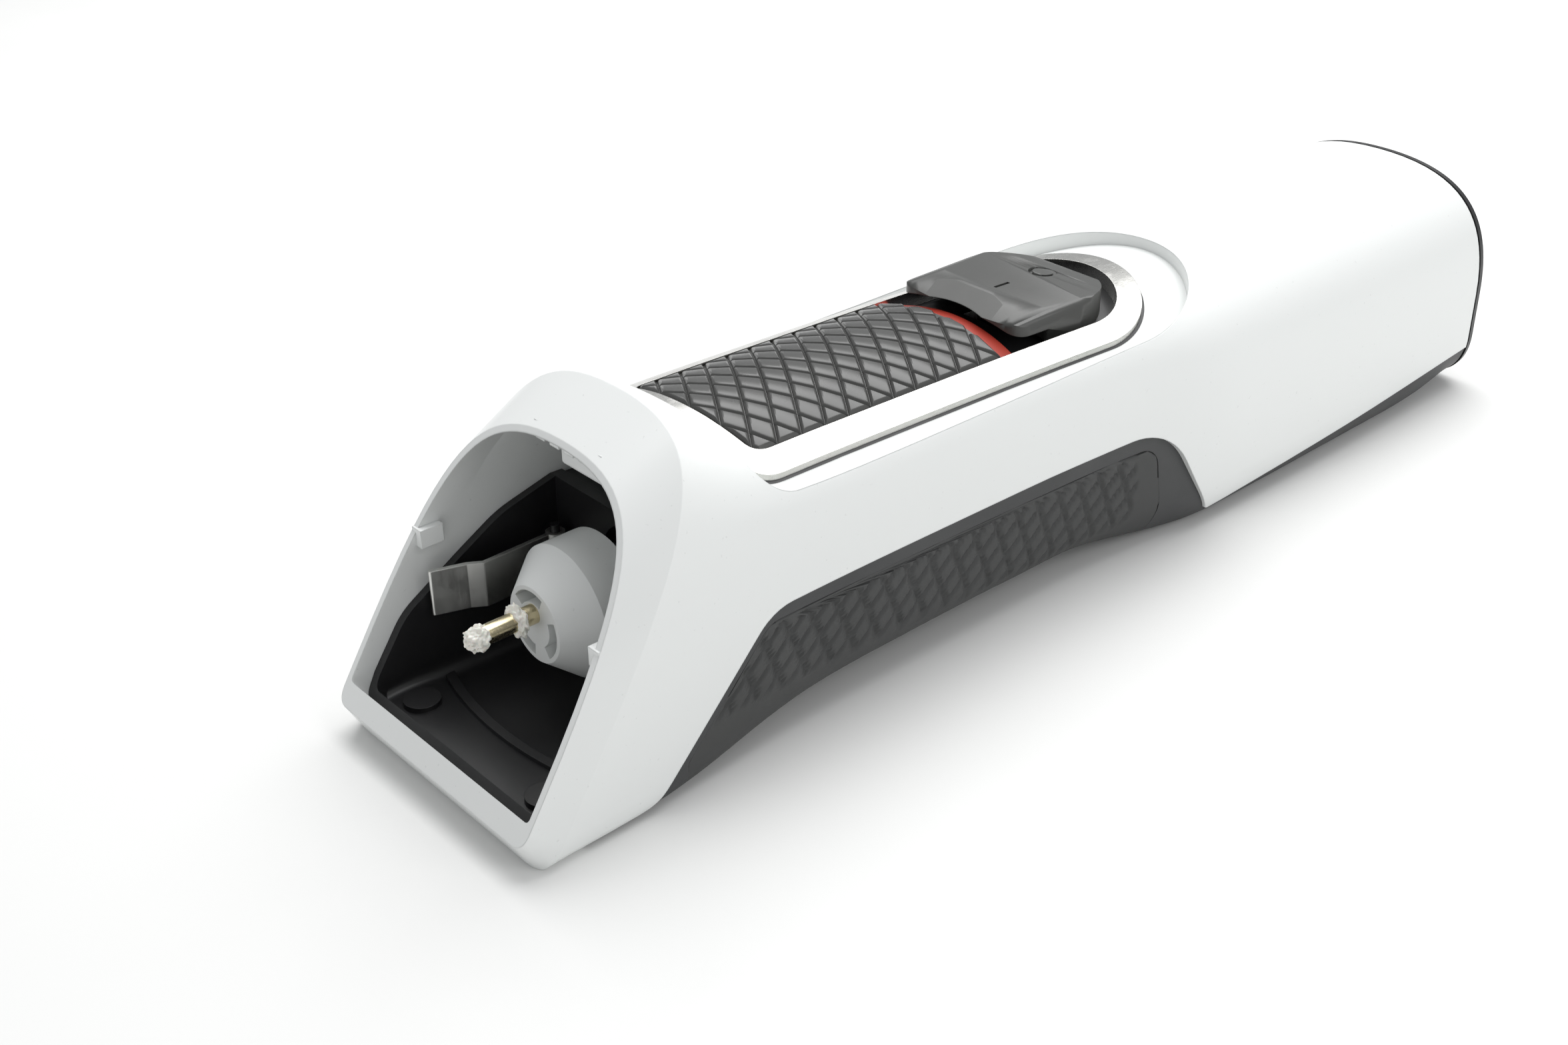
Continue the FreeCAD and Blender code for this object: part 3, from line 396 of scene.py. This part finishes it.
def make_grease():
    """Two ragged smears of white grease: one over the pin's tip and one as a collar further back."""
    shape = bmesh.new()
    for station, along, across, ragged, seed in SMEARS:
        made = bmesh.ops.create_icosphere(shape, subdivisions=5, radius=1.0)["verts"]
        for vert in made:
            direction = vert.co.normalized()
            rough = noise.fractal(direction * 2.1 + Vector((seed, 0, 0)), 0.9, 2.2, 2)
            spike = max(noise.noise(direction * 3.4 + Vector((0, seed, 0))), 0.0) ** 2
            swell = 1.0 + ragged * rough + 1.6 * ragged * spike
            vert.co = at(direction.x * across * swell, station + direction.y * along * swell,
                         PIN_Z + direction.z * across * swell)
    mesh = bpy.data.meshes.new("pin_grease")
    shape.to_mesh(mesh)
    shape.free()
    mesh.shade_smooth()
    piece = bpy.data.objects.new("pin_grease", mesh)
    bpy.context.scene.collection.objects.link(piece)
    return piece


# ---- materials ------------------------------------------------------------------------------------
class Finish:
    """A node material being built: a Principled shader, fed by patterns in object space."""

    def __init__(self, name, roughness, metallic=0.0, coat=0.0):
        self.material = bpy.data.materials.new(name)
        self.material.use_nodes = True
        self.tree = self.material.node_tree
        self.shader = self.tree.nodes["Principled BSDF"]
        self.place = self.tree.nodes.new("ShaderNodeTexCoord").outputs["Object"]
        self.normal = None
        self.shader.inputs["Metallic"].default_value = metallic
        self.shader.inputs["Coat Weight"].default_value = coat
        self.shader.inputs["Roughness"].default_value = roughness

    def link(self, source, target):
        self.tree.links.new(source, target)

    def noise(self, size, detail=3.0, stretch=(1.0, 1.0, 1.0), roughness=0.55):
        """Noise with features of about size millimetres, drawn out along the axes by stretch."""
        scaled = self.tree.nodes.new("ShaderNodeMapping")
        scaled.inputs["Scale"].default_value = [1.0 / (size * MM * s) for s in stretch]
        self.link(self.place, scaled.inputs["Vector"])
        pattern = self.tree.nodes.new("ShaderNodeTexNoise")
        pattern.inputs["Scale"].default_value = 1.0
        pattern.inputs["Detail"].default_value = detail
        pattern.inputs["Roughness"].default_value = roughness
        self.link(scaled.outputs["Vector"], pattern.inputs["Vector"])
        return pattern.outputs["Fac"]

    def between(self, value, low, high, from_low=0.35, from_high=0.65):
        """The value carried from its own range to low-high, held at the ends."""
        carry = self.tree.nodes.new("ShaderNodeMapRange")
        ends = {"From Min": from_low, "From Max": from_high, "To Min": low, "To Max": high}
        for name, number in ends.items():
            carry.inputs[name].default_value = number
        self.link(value, carry.inputs["Value"])
        return carry.outputs["Result"]

    def colours(self, value, first, second):
        blend = self.tree.nodes.new("ShaderNodeMix")
        blend.data_type = "RGBA"
        blend.inputs["A"].default_value = (*first, 1.0)
        blend.inputs["B"].default_value = (*second, 1.0)
        self.link(value, blend.inputs["Factor"])
        return blend.outputs["Result"]

    def over(self, value, below, colour):
        """A colour laid over another socket's colour where value is high."""
        blend = self.tree.nodes.new("ShaderNodeMix")
        blend.data_type = "RGBA"
        self.link(below, blend.inputs["A"])
        blend.inputs["B"].default_value = (*colour, 1.0)
        self.link(value, blend.inputs["Factor"])
        return blend.outputs["Result"]

    def base(self, socket):
        self.link(socket, self.shader.inputs["Base Color"])

    def rough(self, socket):
        self.link(socket, self.shader.inputs["Roughness"])

    def round_edges(self, radius):
        """Catches light on sharp edges as a moulded radius in millimetres would."""
        edge = self.tree.nodes.new("ShaderNodeBevel")
        edge.samples = 4
        edge.inputs["Radius"].default_value = radius * MM
        self.normal = edge.outputs["Normal"]

    def bump(self, value, height):
        """Relief of the given height in millimetres, on top of any earlier relief."""
        relief_node = self.tree.nodes.new("ShaderNodeBump")
        relief_node.inputs["Strength"].default_value = 1.0
        relief_node.inputs["Distance"].default_value = height * MM
        self.link(value, relief_node.inputs["Height"])
        if self.normal is not None:
            self.link(self.normal, relief_node.inputs["Normal"])
        self.normal = relief_node.outputs["Normal"]

    def done(self):
        if self.normal is not None:
            self.link(self.normal, self.shader.inputs["Normal"])
        return self.material


def moulded(name, dark, light, rough_low, rough_high, grain=0.35, grain_height=0.004, edge=0.12):
    """Injection-moulded plastic: slow colour drift, uneven gloss, fine grain and a few dust specks."""
    finish = Finish(name, rough_high)
    colour = finish.colours(finish.noise(22.0, 2.0), dark, light)
    specks = finish.between(finish.noise(0.45, 1.0), 0.0, 0.25, 0.74, 0.8)
    finish.base(finish.over(specks, colour, tuple(0.6 * c for c in dark)))
    finish.rough(finish.between(finish.noise(9.0, 4.0), rough_low, rough_high, 0.25, 0.75))
    finish.round_edges(edge)
    finish.bump(finish.noise(grain, 3.0), grain_height)
    return finish


def make_shell_white():
    dark, light = (0.805, 0.82, 0.81), (0.815, 0.828, 0.818)
    finish = moulded("shell_white", dark, light, 0.29, 0.31, 0.4, 0.0012, 0.2)
    finish.bump(finish.noise(0.12, 2.0), 0.0006)
    return finish.done()


def make_housing_grey():
    finish = moulded("housing_grey", (0.040, 0.041, 0.042), (0.050, 0.051, 0.052), 0.46, 0.6, 0.16, 0.006)
    return finish.done()


def make_grip_rubber():
    dark, light, worn_colour = (0.042, 0.043, 0.043), (0.054, 0.055, 0.054), (0.075, 0.076, 0.074)
    finish = moulded("grip_rubber", dark, light, 0.52, 0.68, 0.11, 0.006)
    worn = finish.between(finish.noise(6.0, 6.0), 0.0, 0.3, 0.5, 0.75)
    finish.base(finish.over(worn, finish.colours(finish.noise(9.0), dark, light), worn_colour))
    return finish.done()


def scratches(finish, size, length, turn):
    """Thin broken lines in one direction, from noise drawn out along it."""
    turned = finish.tree.nodes.new("ShaderNodeMapping")
    turned.inputs["Rotation"].default_value = (0.0, 0.0, math.radians(turn))
    turned.inputs["Scale"].default_value = [1.0 / (size * MM), 1.0 / (length * MM), 1.0 / (size * 40 * MM)]
    finish.link(finish.place, turned.inputs["Vector"])
    lines = finish.tree.nodes.new("ShaderNodeTexNoise")
    lines.inputs["Scale"].default_value = 1.0
    lines.inputs["Detail"].default_value = 2.0
    finish.link(turned.outputs["Vector"], lines.inputs["Vector"])
    return finish.between(lines.outputs["Fac"], 0.0, 1.0, 0.68, 0.74)


def glossy_black(name, dark, light, rough_low, rough_high, scratch_strength):
    finish = moulded(name, dark, light, rough_low, rough_high, 0.25, 0.002, 0.08)
    for size, length, turn in ((0.06, 4.0, 35.0), (0.05, 3.0, -50.0)):
        finish.bump(scratches(finish, size, length, turn), -0.002 * scratch_strength)
    return finish.done()


def make_pad_rubber():
    return glossy_black("pad_rubber", (0.058, 0.058, 0.056), (0.072, 0.072, 0.069), 0.2, 0.3, 0.5)


def make_switch_black():
    return glossy_black("switch_black", (0.054, 0.055, 0.052), (0.070, 0.071, 0.067), 0.26, 0.4, 1.4)


def make_black_plastic():
    return glossy_black("black_plastic", (0.012, 0.012, 0.013), (0.02, 0.02, 0.021), 0.3, 0.46, 0.5)


def make_red_plastic():
    finish = moulded("red_plastic", (0.36, 0.035, 0.02), (0.45, 0.05, 0.03), 0.34, 0.5)
    return finish.done()


def brushed(name, dark, light, rough_low, rough_high, along="Y", line_height=0.0015):
    """Metal with fine lines drawn out along one axis, and faint handling marks."""
    finish = Finish(name, rough_high, metallic=1.0)
    stretch = [30.0 if axis == along else 1.0 for axis in "XYZ"]
    lines = finish.noise(0.08, 3.0, stretch)
    finish.base(finish.colours(finish.noise(5.0, 5.0), dark, light))
    marks = finish.noise(2.2, 6.0)
    uneven = finish.tree.nodes.new("ShaderNodeMath")
    uneven.operation = "ADD"
    finish.link(finish.between(lines, rough_low, rough_high), uneven.inputs[0])
    finish.link(finish.between(marks, 0.0, 0.08, 0.5, 0.7), uneven.inputs[1])
    finish.rough(uneven.outputs["Value"])
    finish.round_edges(0.1)
    finish.bump(lines, line_height)
    finish.shader.inputs["Anisotropic"].default_value = 0.35
    return finish.done()


def make_circuit_green():
    """Solder mask with faint tracks under it."""
    finish = Finish("board_green", 0.3)
    tracks = finish.tree.nodes.new("ShaderNodeTexBrick")
    tracks.inputs["Scale"].default_value = 260.0
    tracks.inputs["Mortar Size"].default_value = 0.03
    tracks.inputs["Color1"].default_value = (0.012, 0.10, 0.045, 1.0)
    tracks.inputs["Color2"].default_value = (0.016, 0.12, 0.05, 1.0)
    tracks.inputs["Mortar"].default_value = (0.03, 0.19, 0.08, 1.0)
    finish.link(finish.place, tracks.inputs["Vector"])
    finish.base(tracks.outputs["Color"])
    finish.rough(finish.between(finish.noise(1.5), 0.25, 0.4))
    finish.bump(tracks.outputs["Fac"], 0.02)
    return finish.done()


def make_light_clear():
    finish = Finish("light_clear", 0.12, coat=0.3)
    finish.base(finish.colours(finish.noise(1.0), (0.78, 0.82, 0.84), (0.88, 0.9, 0.91)))
    finish.rough(finish.between(finish.noise(0.6, 4.0), 0.08, 0.2))
    finish.shader.inputs["Transmission Weight"].default_value = 0.6
    finish.bump(finish.noise(0.3), 0.003)
    return finish.done()


def make_grease_white():
    finish = Finish("grease_white", 0.3, coat=0.4)
    finish.base(finish.colours(finish.noise(0.9, 4.0), (0.84, 0.82, 0.74), (0.90, 0.89, 0.83)))
    finish.rough(finish.between(finish.noise(0.3, 4.0), 0.18, 0.4))
    finish.shader.inputs["Subsurface Weight"].default_value = 0.12
    finish.shader.inputs["Subsurface Scale"].default_value = 0.5 * MM
    finish.bump(finish.noise(0.4, 3.0), 0.03)
    return finish.done()


FINISHES = {
    "shell_white": make_shell_white(),
    "housing_grey": make_housing_grey(),
    "grip_rubber": make_grip_rubber(),
    "pad_rubber": make_pad_rubber(),
    "black_plastic": make_black_plastic(),
    "switch_black": make_switch_black(),
    "red_plastic": make_red_plastic(),
    "trim_steel": brushed("trim_steel", (0.60, 0.595, 0.57), (0.68, 0.675, 0.65), 0.2, 0.28),
    "spring_steel": brushed("spring_steel", (0.66, 0.66, 0.63), (0.72, 0.72, 0.70), 0.3, 0.36, "Z", 0.0004),
    "screw_steel": brushed("screw_steel", (0.42, 0.42, 0.42), (0.58, 0.58, 0.57), 0.25, 0.4, "X"),
    "motor_steel": brushed("motor_steel", (0.50, 0.50, 0.49), (0.62, 0.62, 0.60), 0.3, 0.45, "Y"),
    "shaft_steel": brushed("shaft_steel", (0.60, 0.60, 0.60), (0.74, 0.74, 0.73), 0.14, 0.24, "X"),
    "bronze": brushed("bronze", (0.42, 0.26, 0.13), (0.56, 0.36, 0.19), 0.35, 0.5, "Y"),
    "pin_brass": brushed("pin_brass", (0.62, 0.53, 0.33), (0.78, 0.69, 0.47), 0.16, 0.28, "X"),
    "white_plastic": moulded("white_plastic", (0.70, 0.72, 0.71), (0.79, 0.80, 0.79), 0.3, 0.42).done(),
    "magnet": moulded("magnet", (0.05, 0.05, 0.055), (0.075, 0.075, 0.08), 0.5, 0.7, 0.2, 0.01).done(),
    "copper": brushed("copper", (0.60, 0.26, 0.14), (0.76, 0.36, 0.2), 0.25, 0.4, "Y"),
    "board_green": make_circuit_green(),
    "component_black": moulded(
        "component_black", (0.016, 0.016, 0.017), (0.03, 0.03, 0.03), 0.45, 0.6).done(),
    "cell_steel": brushed("cell_steel", (0.60, 0.60, 0.59), (0.72, 0.72, 0.70), 0.2, 0.34, "Y"),
    "cell_wrap": moulded("cell_wrap", (0.03, 0.17, 0.10), (0.04, 0.22, 0.13), 0.22, 0.34, 1.2, 0.01).done(),
    "wire_red": moulded("wire_red", (0.36, 0.02, 0.015), (0.46, 0.03, 0.02), 0.34, 0.46).done(),
    "light_clear": make_light_clear(),
    "grease_white": make_grease_white(),
}


def paint(piece, finish):
    piece.data.materials.clear()
    piece.data.materials.append(FINISHES[finish])


for node in nodes.values():
    for held in node.material_slots:
        held.material = FINISHES[held.material.name.split(".")[0]]

thumb_pad = make_thumb_pad()
paint(thumb_pad, "pad_rubber")
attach(thumb_pad, "handle")
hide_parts("thumb_grip")

finger_skin = make_finger_skin()
paint(finger_skin, "grip_rubber")
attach(finger_skin, "handle")
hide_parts("finger_grip")

switch_cap = make_switch_cap()
paint(switch_cap, "switch_black")
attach(switch_cap, "switch")
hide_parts("switch_button")

grease = make_grease()
paint(grease, "grease_white")
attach(grease, "drive")


# ---- floor, light and camera ----------------------------------------------------------------------
def make_floor():
    half = 3.0
    floor = new_piece("floor", [(-half, -half, 0), (half, -half, 0), (half, half, 0), (-half, half, 0)],
                      [(0, 1, 2, 3)])
    finish = Finish("floor_white", 0.7)
    finish.base(finish.colours(finish.noise(60.0), (0.80, 0.80, 0.79), (0.82, 0.82, 0.81)))
    finish.rough(finish.between(finish.noise(20.0), 0.6, 0.75))
    finish.bump(finish.noise(0.8), 0.004)
    floor.data.materials.append(finish.done())


def add_softbox(name, place, width, height, power, target=(0.0, 0.0, 0.01)):
    data = bpy.data.lights.new(name, "AREA")
    data.shape = "RECTANGLE"
    data.size, data.size_y = width, height
    data.energy = power
    lamp = bpy.data.objects.new(name, data)
    lamp.location = place
    lamp.rotation_euler = (Vector(target) - Vector(place)).to_track_quat("-Z", "Y").to_euler()
    bpy.context.scene.collection.objects.link(lamp)


def set_world(strength):
    world = bpy.data.worlds.new("studio")
    world.use_nodes = True
    sky = world.node_tree.nodes["Background"]
    sky.inputs["Color"].default_value = (0.97, 0.985, 1.0, 1.0)
    sky.inputs["Strength"].default_value = strength
    bpy.context.scene.world = world


CAMERA_AZIMUTH, CAMERA_ELEVATION, CAMERA_ROLL = 48.88, 29.95, -0.87
CAMERA_STATION_MM = (131.8, -71.3, 113.6)
LENS_MM, SENSOR_MM = 44.4, 36.0


def place_camera():
    turn, rise, roll = (math.radians(a) for a in (CAMERA_AZIMUTH, CAMERA_ELEVATION, CAMERA_ROLL))
    back = Vector((math.sin(turn) * math.cos(rise), -math.cos(turn) * math.cos(rise), math.sin(rise)))
    level = Vector((math.cos(turn), math.sin(turn), 0.0))
    upright = back.cross(level)
    across = level * math.cos(roll) + upright * math.sin(roll)
    up = upright * math.cos(roll) - level * math.sin(roll)
    data = bpy.data.cameras.new("camera")
    data.lens, data.sensor_width = LENS_MM, SENSOR_MM
    data.clip_start = 0.005
    camera = bpy.data.objects.new("camera", data)
    pose = Matrix((across, up, back)).transposed().to_4x4()
    pose.translation = at(*CAMERA_STATION_MM)
    camera.matrix_world = pose
    bpy.context.scene.collection.objects.link(camera)
    bpy.context.scene.camera = camera


make_floor()
set_world(0.47)
add_softbox("overhead", (-0.12, 0.16, 0.42), 0.5, 0.5, 2.7)
add_softbox("side", (0.38, 0.10, 0.24), 0.3, 0.3, 0.5)
place_camera()
bpy.context.scene.view_settings.view_transform = "Standard"
